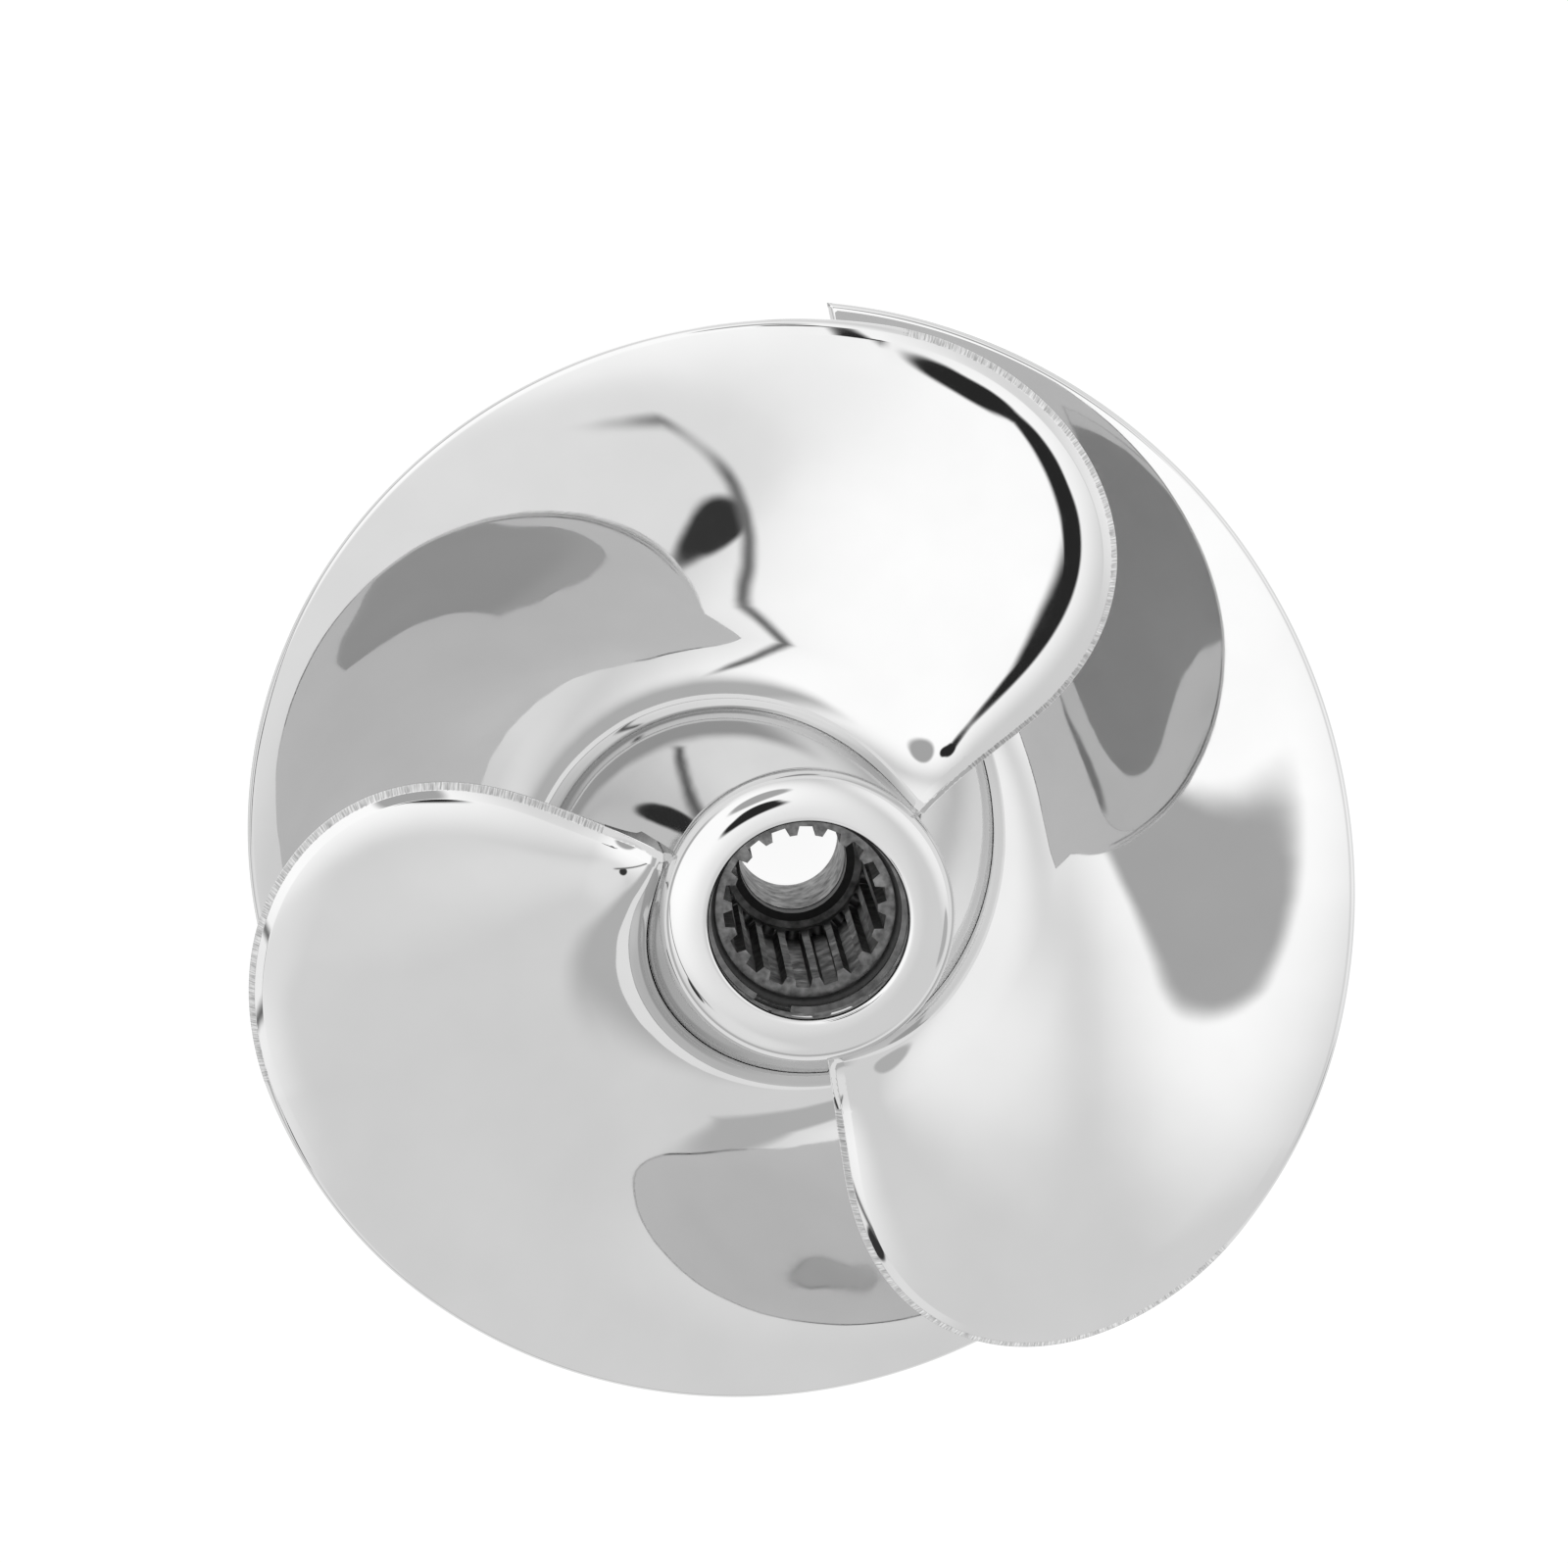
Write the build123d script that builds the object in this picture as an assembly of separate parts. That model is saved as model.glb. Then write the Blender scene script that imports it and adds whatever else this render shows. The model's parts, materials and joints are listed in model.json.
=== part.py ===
"""Impeller of a small jet pump: a flared hub with three swept blades round a splined bore.

Millimetres, +Z up. The shaft axis is Z, the nose (where the drive shaft enters) is at the top,
and the origin is the centre of the hub's rear rim, on which the impeller stands.
"""
from build123d import *
import math
import os

# ---- overall sizes ---------------------------------------------------------------------------
HUB_HEIGHT = 77.0           # rear rim to nose face
TIP_RADIUS = 79.5           # radius swept by the blade tips
BLADE_COUNT = 3
FIRST_BLADE_ANGLE = 38.4    # direction of the first blade's leading edge at its root, degrees

# ---- splined sleeve, which sets the size of the bore ------------------------------------------
SPLINE_TEETH = 18
SPLINE_MAJOR_RADIUS = 11.2  # floor of the slots
TOOTH_HEIGHT = 1.2
SLOT_SHARE_AT_CREST = 0.70  # slot width as a share of the tooth pitch, at the crests
SLOT_SHARE_AT_FLOOR = 0.49  # and at the slot floors
SPLINE_TURN = 9.0           # direction of the first slot, degrees
SLEEVE_WALL = 2.0           # outside the slots
SLEEVE_DEPTH = 11.0         # its front face, below the nose face
SLEEVE_LENGTH = 38.5
SLOT_STOP = 2.0             # slots end in a round this far before the sleeve does

# ---- hub, inside -----------------------------------------------------------------------------
MOUTH_CLEARANCE = 0.3       # mouth over the sleeve, which goes in through it
MOUTH_LIP = 0.7             # round on the mouth's edge
REAR_BORE_RADIUS = 7.7      # pilot bore for the shaft's plain end
BOSS_WALL = 5.8             # tube round the sleeve
BOSS_RECESS = 4.5           # boss end above the rear rim
SHELL_WALL = 5.0            # flared wall round the rear hollow
WEB_DEPTH = 44.0            # roof of the rear hollow, below the nose face

# ---- hub, outside ----------------------------------------------------------------------------
NOSE_LAND = 1.0             # flat ring round the mouth
NOSE_ROUND = 5.3            # from the land out to the flank
SHOULDER_DEPTH = 6.0        # where the rounded nose becomes the flank, below the nose face
RIM_FLARE = 20.7            # the rear rim stands out this far from the shoulder
WAIST_HOLLOW = 0.98         # the flank lies this far inside a straight line between the two
WAIST_DEPTH = 32.0          # at this depth

# ---- rings in the bore -----------------------------------------------------------------------
SNAP_RING_DEPTH = 6.6       # top face, below the nose face
SNAP_RING_THICKNESS = 1.0
SNAP_RING_PROUD = 0.5       # how far it stands into the mouth
SNAP_RING_SEAT = 0.9        # how deep it sits in its groove
SNAP_RING_GAP = 5.0
SNAP_RING_TURN = 250.0      # direction of the gap, degrees
SEAL_CORD = 2.4             # round section of the mouth seal
SEAL_PROUD = 1.2            # how far it stands into the mouth
SEAL_ROOM = 0.15            # groove height over the cord
BUMPER_CLEARANCE = 0.1      # bore of the rubber ring, over the rear bore
BUMPER_WALL = 1.2
BUMPER_LENGTH = 3.0

# ---- blades ----------------------------------------------------------------------------------
EDGE_DEPTH = 12.5           # leading edge below the nose face, near the hub
EDGE_SWEEP = 43.0           # how far the leading edge swings back to the tip, degrees
EDGE_SWEEP_START = 38.0     # radius at which it starts to swing back
WRAP_AT_TIP = 167.2         # leading-edge root to trailing-edge tip, degrees
TRAILING_TIP_HEIGHT = 4.0   # trailing edge above the rear rim, at the tip
TRAILING_ROOT_HEIGHT = 5.2  # and at the root
LEAD_EASE = 20.0            # degrees over which the fall of the blade sets in
TIP_RISE = 7.2              # the outer blade turns up towards the nose
TIP_RISE_START = 28.0       # degrees behind the leading-edge root
TIP_RISE_SPREAD = 40.0
TIP_RISE_RADIUS = 40.0
ROOT_THICKNESS = 4.4
TIP_THICKNESS = 2.4
FILLET_WIDTH = 8.5          # root fillet, out along the blade

# ---- sizes that follow -----------------------------------------------------------------------
SPLINE_MINOR_RADIUS = SPLINE_MAJOR_RADIUS - TOOTH_HEIGHT
SLEEVE_RADIUS = SPLINE_MAJOR_RADIUS + SLEEVE_WALL
MOUTH_RADIUS = SLEEVE_RADIUS + MOUTH_CLEARANCE
SEAL_GROOVE_RADIUS = MOUTH_RADIUS + SEAL_CORD - SEAL_PROUD
BOSS_RADIUS = SLEEVE_RADIUS + BOSS_WALL
BUMPER_BORE_RADIUS = REAR_BORE_RADIUS + BUMPER_CLEARANCE
BUMPER_RADIUS = BUMPER_BORE_RADIUS + BUMPER_WALL
NOSE_RADIUS = MOUTH_RADIUS + NOSE_LAND
SHOULDER_RADIUS = NOSE_RADIUS + NOSE_ROUND
RIM_RADIUS = SHOULDER_RADIUS + RIM_FLARE
WAIST_SHARE = (WAIST_DEPTH - SHOULDER_DEPTH) / (HUB_HEIGHT - SHOULDER_DEPTH)
WAIST_RADIUS = SHOULDER_RADIUS + RIM_FLARE * WAIST_SHARE - WAIST_HOLLOW
FILLET_HEIGHT = EDGE_DEPTH - SHOULDER_DEPTH     # the root fillet starts at the hub's shoulder
EDGE_HEIGHT = HUB_HEIGHT - EDGE_DEPTH
LEAD_PER_DEGREE = (EDGE_HEIGHT + TIP_RISE - TRAILING_TIP_HEIGHT) / (WRAP_AT_TIP - LEAD_EASE)
WRAP_AT_ROOT = LEAD_EASE + (EDGE_HEIGHT - TRAILING_ROOT_HEIGHT) / LEAD_PER_DEGREE

# ---- construction ----------------------------------------------------------------------------
BURIED = 3.0                # blades start this far inside the hub's skin before they are trimmed
OVERRUN = 4.0               # cutters and untrimmed surfaces run this far past what they cut
LEAD_IN = 12.0              # untrimmed blade faces start this far ahead of the edge, degrees
HOLLOW_STEPS = 6            # points down the wall of the rear hollow
ROOT_SEARCH = 12            # rounds of the search for the blade's root
GRID_RADII = 30             # points on each blade face, outward
GRID_ANGLES = 40            # and round the axis
GRID_CROWDING = 1.4         # points crowd towards the root fillet
EDGE_POINTS = 8             # points of the leading edge's quarter ellipse


def below_nose(depth):
    return HUB_HEIGHT - depth


def polar(radius, degrees):
    turn = math.radians(degrees)
    return radius * math.cos(turn), radius * math.sin(turn)


def disc(radius, bottom, top):
    return Pos(0, 0, bottom) * Cylinder(radius, top - bottom, align=(Align.CENTER, Align.CENTER, Align.MIN))


def ring(outer, inner, bottom, top):
    return disc(outer, bottom, top) - disc(inner, bottom, top)


# ---- hub -------------------------------------------------------------------------------------
def flank_curve():
    """Flared side of the hub, from the shoulder down to the rear rim."""
    return ThreePointArc(
        (SHOULDER_RADIUS, 0, below_nose(SHOULDER_DEPTH)),
        (WAIST_RADIUS, 0, below_nose(WAIST_DEPTH)),
        (RIM_RADIUS, 0, 0),
    )


def flank_radius(height, flank=flank_curve()):
    """Radius of the flared side at a height; the arc's own circle gives it."""
    centre = flank.arc_center
    reach = flank.radius ** 2 - (height - centre.Z) ** 2
    return centre.X - math.sqrt(reach)


def hub_envelope():
    """The hub's outer form, filled to the axis."""
    flank = flank_curve()
    heading = flank % 0
    corner = SHOULDER_RADIUS + heading.X / heading.Z * SHOULDER_DEPTH
    nose = Bezier((NOSE_RADIUS, 0, HUB_HEIGHT), (corner, 0, HUB_HEIGHT), flank @ 0)
    sides = [
        Line((0, 0, 0), flank @ 1),
        flank,
        nose,
        Line((NOSE_RADIUS, 0, HUB_HEIGHT), (0, 0, HUB_HEIGHT)),
        Line((0, 0, HUB_HEIGHT), (0, 0, 0)),
    ]
    return revolve(make_face(sides), Axis.Z)


def rear_hollow():
    """Annular hollow between the flared wall and the boss, open at the rear."""
    roof = below_nose(WEB_DEPTH)
    heights = [roof * (1 - step / HOLLOW_STEPS) for step in range(HOLLOW_STEPS + 1)]
    wall = [(flank_radius(height) - SHELL_WALL, height) for height in heights]
    outline = Polyline((BOSS_RADIUS, -OVERRUN), (BOSS_RADIUS, roof), wall[0])
    side = Spline(*wall)
    close = Polyline(wall[-1], (wall[-1][0], -OVERRUN), (BOSS_RADIUS, -OVERRUN))
    hollow = revolve(Plane.XZ * make_face([outline, side, close]), Axis.Z)
    return hollow


def bore_cutter():
    """Mouth, ring grooves, sleeve seat, bumper recess and rear bore."""
    sleeve_top = below_nose(SLEEVE_DEPTH)
    sleeve_bottom = sleeve_top - SLEEVE_LENGTH
    ring_top = below_nose(SNAP_RING_DEPTH)
    ring_bottom = ring_top - SNAP_RING_THICKNESS
    seal_top = sleeve_top + SEAL_CORD + SEAL_ROOM
    return (
        disc(MOUTH_RADIUS, sleeve_top, HUB_HEIGHT + OVERRUN)
        + disc(MOUTH_RADIUS + SNAP_RING_SEAT, ring_bottom, ring_top)
        + disc(SEAL_GROOVE_RADIUS, sleeve_top, seal_top)
        + disc(SLEEVE_RADIUS, sleeve_bottom, sleeve_top)
        + disc(BUMPER_RADIUS, sleeve_bottom - BUMPER_LENGTH, sleeve_bottom)
        + disc(REAR_BORE_RADIUS, -OVERRUN, sleeve_bottom)
    )


def make_hub():
    body = hub_envelope() - rear_hollow() - bore_cutter() - disc(BOSS_RADIUS, -OVERRUN, BOSS_RECESS)
    lip = body.edges().filter_by(GeomType.CIRCLE).filter_by_position(Axis.Z, HUB_HEIGHT, HUB_HEIGHT)
    lip = [edge for edge in lip if abs(edge.radius - MOUTH_RADIUS) < MOUTH_LIP]
    return fillet(lip, MOUTH_LIP)


# ---- pieces in the bore ----------------------------------------------------------------------
def spline_slot():
    """One slot of the internal spline, along +X, with a rounded lower end."""
    half_minor = SLOT_SHARE_AT_CREST * math.pi * SPLINE_MINOR_RADIUS / SPLINE_TEETH
    half_major = SLOT_SHARE_AT_FLOOR * math.pi * SPLINE_MAJOR_RADIUS / SPLINE_TEETH
    inner = SPLINE_MINOR_RADIUS - TOOTH_HEIGHT
    top = below_nose(SLEEVE_DEPTH)
    bottom = top - SLEEVE_LENGTH + SLOT_STOP + half_major
    section = Polyline(
        (inner, -half_minor),
        (SPLINE_MINOR_RADIUS, -half_minor),
        (SPLINE_MAJOR_RADIUS, -half_major),
        (SPLINE_MAJOR_RADIUS, half_major),
        (SPLINE_MINOR_RADIUS, half_minor),
        (inner, half_minor),
        close=True,
    )
    slot = extrude(Pos(0, 0, bottom) * make_face(section), top - bottom)
    end = Pos(inner, 0, bottom) * Rot(0, 90, 0) * Cylinder(
        half_major, SPLINE_MAJOR_RADIUS - inner, align=(Align.CENTER, Align.CENTER, Align.MIN)
    )
    return slot + end


def make_spline_sleeve():
    top = below_nose(SLEEVE_DEPTH)
    sleeve = ring(SLEEVE_RADIUS, SPLINE_MINOR_RADIUS, top - SLEEVE_LENGTH, top)
    slot = spline_slot()
    pitch = 360 / SPLINE_TEETH
    slots = [Rot(0, 0, SPLINE_TURN + index * pitch) * slot for index in range(SPLINE_TEETH)]
    return sleeve - slots


def make_mouth_seal():
    centre_radius = SEAL_GROOVE_RADIUS - SEAL_CORD / 2
    centre_height = below_nose(SLEEVE_DEPTH) + SEAL_CORD / 2
    return Pos(0, 0, centre_height) * Torus(centre_radius, SEAL_CORD / 2)


def make_snap_ring():
    top = below_nose(SNAP_RING_DEPTH)
    outer = MOUTH_RADIUS + SNAP_RING_SEAT
    inner = MOUTH_RADIUS - SNAP_RING_PROUD
    whole = ring(outer, inner, top - SNAP_RING_THICKNESS, top)
    reach = SNAP_RING_SEAT + SNAP_RING_PROUD + OVERRUN
    gap = Pos(outer, 0, top) * Box(2 * reach, SNAP_RING_GAP, 2 * SNAP_RING_THICKNESS + OVERRUN)
    return whole - Rot(0, 0, SNAP_RING_TURN) * gap


def make_shaft_bumper():
    top = below_nose(SLEEVE_DEPTH) - SLEEVE_LENGTH
    return ring(BUMPER_RADIUS, BUMPER_BORE_RADIUS, top - BUMPER_LENGTH, top)


# ---- blades ----------------------------------------------------------------------------------
def smooth_step(value):
    value = min(max(value, 0), 1)
    return value * value * (3 - 2 * value)


def fall(behind):
    """Drop of the blade at an angle behind its leading-edge root; it sets in gently."""
    return LEAD_PER_DEGREE * (behind - LEAD_EASE * (1 - math.exp(-behind / LEAD_EASE)))


def slope(behind, radius):
    """Steepness of the blade round the axis."""
    return LEAD_PER_DEGREE * (1 - math.exp(-behind / LEAD_EASE)) * math.degrees(1) / radius


def upper_height(radius, behind):
    """Height of the blade's nose-side face, without its root fillet."""
    outward = smooth_step((radius - TIP_RISE_RADIUS) / (TIP_RADIUS - TIP_RISE_RADIUS))
    rise = TIP_RISE * outward * smooth_step((behind - TIP_RISE_START) / TIP_RISE_SPREAD)
    return EDGE_HEIGHT - fall(behind) + rise


def lower_height(radius, behind):
    span = (radius - SHOULDER_RADIUS) / (TIP_RADIUS - SHOULDER_RADIUS)
    thickness = ROOT_THICKNESS + (TIP_THICKNESS - ROOT_THICKNESS) * span
    return upper_height(radius, behind) - thickness * math.hypot(1, slope(behind, radius))


def root_radius(face, behind):
    """Radius at which a face of the blade meets the hub's flank."""
    radius = WAIST_RADIUS
    for _ in range(ROOT_SEARCH):
        radius = flank_radius(face(radius, behind))
    return radius


def fillet_rise(distance):
    """Root fillet: a parabola that leaves the blade smoothly and runs up the hub."""
    share = min(max(distance / FILLET_WIDTH, 0), 1)
    return FILLET_HEIGHT * (1 - share) ** 2


def face_points(face, side, start, finish):
    """Grid of points on one face of the blade, side +1 for the nose side and -1 for the other."""
    rows = []
    for step in range(GRID_ANGLES):
        behind = start + (finish - start) * step / (GRID_ANGLES - 1)
        root = root_radius(face, behind)
        row = []
        for place in range(GRID_RADII):
            share = place / (GRID_RADII - 1)
            radius = root - BURIED + (TIP_RADIUS + OVERRUN - root + BURIED) * share ** GRID_CROWDING
            height = face(radius, behind) + side * fillet_rise(radius - root)
            row.append((*polar(radius, behind), height))
        rows.append(row)
    return rows


def sheet(points):
    return Face.make_surface_from_array_of_points(points, tol=0.005, min_deg=3, max_deg=5)


def planform():
    """The blade seen along the axis: swept leading edge, tip arc and trailing edge."""
    reach = TIP_RADIUS - EDGE_SWEEP_START
    swept = []
    for step in range(EDGE_POINTS):
        lean = math.radians(90) * step / (EDGE_POINTS - 1)
        swept.append(polar(EDGE_SWEEP_START + reach * math.sin(lean), EDGE_SWEEP * (1 - math.cos(lean))))
    edge = Spline((SHOULDER_RADIUS - BURIED, 0), *swept)
    middle = (EDGE_SWEEP + WRAP_AT_TIP) / 2
    tip = ThreePointArc(swept[-1], polar(TIP_RADIUS, middle), polar(TIP_RADIUS, WRAP_AT_TIP))
    trailing = Line(tip @ 1, polar(RIM_RADIUS, WRAP_AT_ROOT))
    close = [Line(trailing @ 1, (0, 0)), Line((0, 0), edge @ 0)]
    return make_face([edge, tip, trailing, *close])


def skin(upper, lower):
    """Walls between matching edges of two sheets."""
    walls = []
    for edge in upper.edges():
        near = min(lower.edges(), key=lambda other: (other.center() - edge.center()).length)
        walls.append(Face.make_surface_from_curves(edge, near))
    return walls


def make_first_blade():
    """One blade with its root fillet, trimmed to its outline and to the hub's skin."""
    finish = WRAP_AT_TIP + OVERRUN
    upper = sheet(face_points(upper_height, 1, -LEAD_IN, finish))
    lower = sheet(face_points(lower_height, -1, -LEAD_IN, finish))
    slab = Solid(Shell([upper, lower, *skin(upper, lower)]))
    outline = extrude(planform(), HUB_HEIGHT)
    return (slab & outline) - hub_envelope()


if __name__ == "__main__":
    os.makedirs("parts", exist_ok=True)
    nodes = {
        "hub": make_hub(),
        "spline_sleeve": make_spline_sleeve(),
        "mouth_seal": make_mouth_seal(),
        "snap_ring": make_snap_ring(),
        "shaft_bumper": make_shaft_bumper(),
    }
    blade = make_first_blade()
    for index in range(BLADE_COUNT):
        nodes[f"blade_{index + 1}"] = Rot(0, 0, FIRST_BLADE_ANGLE + index * 360 / BLADE_COUNT) * blade
    for name, shape in nodes.items():
        shape.label = name
        export_step(shape, f"parts/{name}.step")
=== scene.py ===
"""Looks of a jet-pump impeller: mirror-polished hub and blades round a dark splined bore."""
import json
import math

import bpy
import numpy as np
from mathutils import Matrix, Vector
from mathutils.geometry import delaunay_2d_cdt


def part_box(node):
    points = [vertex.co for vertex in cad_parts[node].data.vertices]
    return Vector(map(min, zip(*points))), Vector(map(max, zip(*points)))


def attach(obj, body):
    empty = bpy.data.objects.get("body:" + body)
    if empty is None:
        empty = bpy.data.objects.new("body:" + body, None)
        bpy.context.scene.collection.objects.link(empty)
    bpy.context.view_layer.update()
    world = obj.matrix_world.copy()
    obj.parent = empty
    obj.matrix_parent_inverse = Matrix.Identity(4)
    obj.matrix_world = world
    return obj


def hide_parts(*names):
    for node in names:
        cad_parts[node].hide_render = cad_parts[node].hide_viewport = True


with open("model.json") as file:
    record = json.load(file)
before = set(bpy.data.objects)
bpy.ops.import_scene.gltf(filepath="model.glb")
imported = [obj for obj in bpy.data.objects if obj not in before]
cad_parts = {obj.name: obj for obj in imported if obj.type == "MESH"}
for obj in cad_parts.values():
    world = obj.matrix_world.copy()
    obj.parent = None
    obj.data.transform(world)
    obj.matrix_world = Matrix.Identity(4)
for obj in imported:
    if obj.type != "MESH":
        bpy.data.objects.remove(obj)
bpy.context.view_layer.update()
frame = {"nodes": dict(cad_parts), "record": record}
MM = 0.001

# ---- sizes from the frame, millimetres ---------------------------------------------------------


def node_box(name):
    low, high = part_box(name)
    return [value / MM for value in low], [value / MM for value in high]


def mount_radius(name):
    mount = next(item for item in frame["record"]["mounts"] if item["name"] == name)
    return mount["dims"]["r_mm"]


HUB_HIGH = node_box("hub")[1]
HUB_HEIGHT = HUB_HIGH[2]
RIM_RADIUS = HUB_HIGH[0]
TIP_RADIUS = max(node_box(f"blade_{index}")[1][1] for index in (1, 2, 3))
SLEEVE_LOW, SLEEVE_HIGH = node_box("spline_sleeve")
SLEEVE_RADIUS = SLEEVE_HIGH[0]
SEAL_HIGH = node_box("mouth_seal")[1]
RING_LOW, RING_HIGH = node_box("snap_ring")
RING_RADIUS = max(RING_HIGH[0], -RING_LOW[0], RING_HIGH[1], -RING_LOW[1])
BUMPER_LOW, BUMPER_HIGH = node_box("shaft_bumper")
MOUTH_RADIUS = mount_radius("shaft_mouth")
REAR_BORE_RADIUS = mount_radius("shaft_pilot")
BLADE_COUNT = 3

# ---- hub form ----------------------------------------------------------------------------------
NOSE_LAND = 1.0
NOSE_ROUND = 5.3
SHOULDER_DEPTH = 6.0
WAIST_DEPTH = 32.0
WAIST_HOLLOW = 0.98         # the flank lies this far inside a straight line from shoulder to rim
MOUTH_LIP = 0.7
BOSS_WALL = 5.8
BOSS_RECESS = 4.5
SHELL_WALL = 5.0
WEB_DEPTH = 44.0

NOSE_RADIUS = MOUTH_RADIUS + NOSE_LAND
SHOULDER_RADIUS = NOSE_RADIUS + NOSE_ROUND
SHOULDER_HEIGHT = HUB_HEIGHT - SHOULDER_DEPTH
WAIST_HEIGHT = HUB_HEIGHT - WAIST_DEPTH
WAIST_SHARE = (SHOULDER_HEIGHT - WAIST_HEIGHT) / SHOULDER_HEIGHT
WAIST_RADIUS = SHOULDER_RADIUS + (RIM_RADIUS - SHOULDER_RADIUS) * WAIST_SHARE - WAIST_HOLLOW
BOSS_RADIUS = SLEEVE_RADIUS + BOSS_WALL
WEB_HEIGHT = HUB_HEIGHT - WEB_DEPTH

# ---- blade form --------------------------------------------------------------------------------
FIRST_BLADE_ANGLE = 38.4    # angles are in degrees
EDGE_DEPTH = 12.5           # leading edge below the nose face
EDGE_SWEEP = 43.0           # how far the leading edge swings back to the tip
EDGE_SWEEP_START = 38.0     # radius at which it starts to
WRAP_AT_TIP = 167.2
TRAILING_TIP_HEIGHT = 4.0
TRAILING_ROOT_HEIGHT = 5.2
TRAIL_BURIED = 4.0          # the trailing edge runs on this far under the hub's skin
LEAD_EASE = 20.0            # angle over which the fall of the blade sets in
TIP_RISE = 7.2              # the outer blade turns up towards the nose
TIP_RISE_START = 28.0
TIP_RISE_SPREAD = 40.0
TIP_RISE_RADIUS = 40.0
ROOT_THICKNESS = 4.4
TIP_THICKNESS = 2.4
LEAST_THICKNESS = 0.3
FILLET_WIDTH = 8.5
FILLET_HEIGHT = 6.5
FILLET_RUN_UP = 4.0         # steepness of the fillet where it runs on under the hub's skin
UNDER_FILLET_EXTRA = 1.5    # the fillet below reaches this much further out
ROOT_SINK = 0.25            # both fillets end this far under the hub's skin
ROOT_BURIED = 0.8           # the blade's inner end, under the hub's skin
EDGE_HEIGHT = HUB_HEIGHT - EDGE_DEPTH
TRAIL_END_RADIUS = RIM_RADIUS - TRAIL_BURIED
LEAD = (EDGE_HEIGHT + TIP_RISE - TRAILING_TIP_HEIGHT) / (WRAP_AT_TIP - LEAD_EASE)
WRAP_AT_ROOT = LEAD_EASE + (EDGE_HEIGHT - TRAILING_ROOT_HEIGHT) / LEAD

# the leading edge rolls down, is bevelled, and ends in a ground flat; widths are across the edge
ROLL_WIDTH = 7.5
ROLL_DROP = 1.3
ROLL_POWER = 2.2
ROLL_AT_HUB = 0.35          # share of the roll that is left at the hub
ROLL_GROWTH_START = 2.0     # past the shoulder's radius the roll grows to full
ROLL_GROWTH = 12.0
BEVEL_WIDTH = 2.1
BEVEL_SLOPE = 0.28
GROUND_WIDTH = 0.9
GROUND_SLOPE = 0.75
TIP_ROUND = 0.9
UNDER_ROUND = 0.7
ROUND_FLOOR = 0.02          # keeps the rounds' slopes finite at the very edge
GROUND_START = 9.0          # past the shoulder's radius; nearer the hub the edge is polished
BEVEL_FADE_START = -17.0    # the form fades out from here, measured from the end of the sweep
BEVEL_FADE = 30.0

# ---- mesh fineness, in millimetres or counts ---------------------------------------------------
GRID = 1.1                  # spacing of the points over the blade
GRID_INSET = 7.9            # distance they keep from the blade's border
BORDER_STEP = 0.8
SWEEP_STEPS = 90
INNER_STEPS = 150
BAND_GAPS = (0.12, 0.3, 0.5, 0.7, GROUND_WIDTH - 0.08, GROUND_WIDTH + 0.08, 1.5,
             BEVEL_WIDTH - 0.1, BEVEL_WIDTH + 0.1, 2.8, 3.6, 4.5, 5.5, 6.5, 7.5)
BAND_SLACK = 0.03
BAND_TO_INNER = 0.3         # least distance of the bands from the blade's inner end
FILLET_RINGS = 15
FILLET_STEPS = 190
FILLET_CLEAR = 0.4          # the grid starts this far outside the fillet
FILLET_FIRST = 0.6          # the fillet's rings run from here, in degrees
FILLET_PAST = 8.0           # to this far past the trailing edge's root
INNER_BLEND = 25.0          # degrees over which the inner end meets the trailing edge's
FILLET_TO_BORDER = 0.25
FILLET_TO_INNER = 0.2
SLOPE_STEP = 0.02           # for the surface's slope at a point
ROOT_SEARCH = 12            # rounds of the search for the blade's root
CHUNK = 2000                # points handled at a time
CHART_APART = 50            # between the charts of the blade's two faces
SPIN_STEPS = 288
NOSE_STEPS = 28
FLANK_STEPS = 70
HOLLOW_STEPS = 24
LIP_STEPS = 9
SHARP_ANGLE = 30.0


def smooth_step(value):
    value = np.clip(value, 0, 1)
    return value * value * (3 - 2 * value)


# ---- hub ---------------------------------------------------------------------------------------
def circle_through(first, second, third):
    """Centre and radius of the circle through three points of the hub's side."""
    (ax, ay), (bx, by), (cx, cy) = first, second, third
    twice = 2 * (ax * (by - cy) + bx * (cy - ay) + cx * (ay - by))
    a2, b2, c2 = ax * ax + ay * ay, bx * bx + by * by, cx * cx + cy * cy
    ux = (a2 * (by - cy) + b2 * (cy - ay) + c2 * (ay - by)) / twice
    uy = (a2 * (cx - bx) + b2 * (ax - cx) + c2 * (bx - ax)) / twice
    return ux, uy, math.hypot(ax - ux, ay - uy)


FLANK = circle_through((SHOULDER_RADIUS, SHOULDER_HEIGHT), (WAIST_RADIUS, WAIST_HEIGHT), (RIM_RADIUS, 0))


def flank_radius(height):
    """Radius of the hub's flared side at a height."""
    x, y, radius = FLANK
    return x - np.sqrt(radius ** 2 - (height - y) ** 2)


def bezier(first, corner, last, count):
    share = np.linspace(0, 1, count)[:, None]
    points = (1 - share) ** 2 * np.array(first) + 2 * share * (1 - share) * np.array(corner)
    return points + share ** 2 * np.array(last)


def nose_points():
    """Rounded nose, from the flat round the mouth out to the shoulder."""
    x, y, _ = FLANK
    lean = (SHOULDER_HEIGHT - y) / (x - SHOULDER_RADIUS)
    corner = SHOULDER_RADIUS - lean * (HUB_HEIGHT - SHOULDER_HEIGHT)
    ends = (NOSE_RADIUS, HUB_HEIGHT), (SHOULDER_RADIUS, SHOULDER_HEIGHT)
    return bezier(ends[0], (corner, HUB_HEIGHT), ends[1], NOSE_STEPS)


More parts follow.
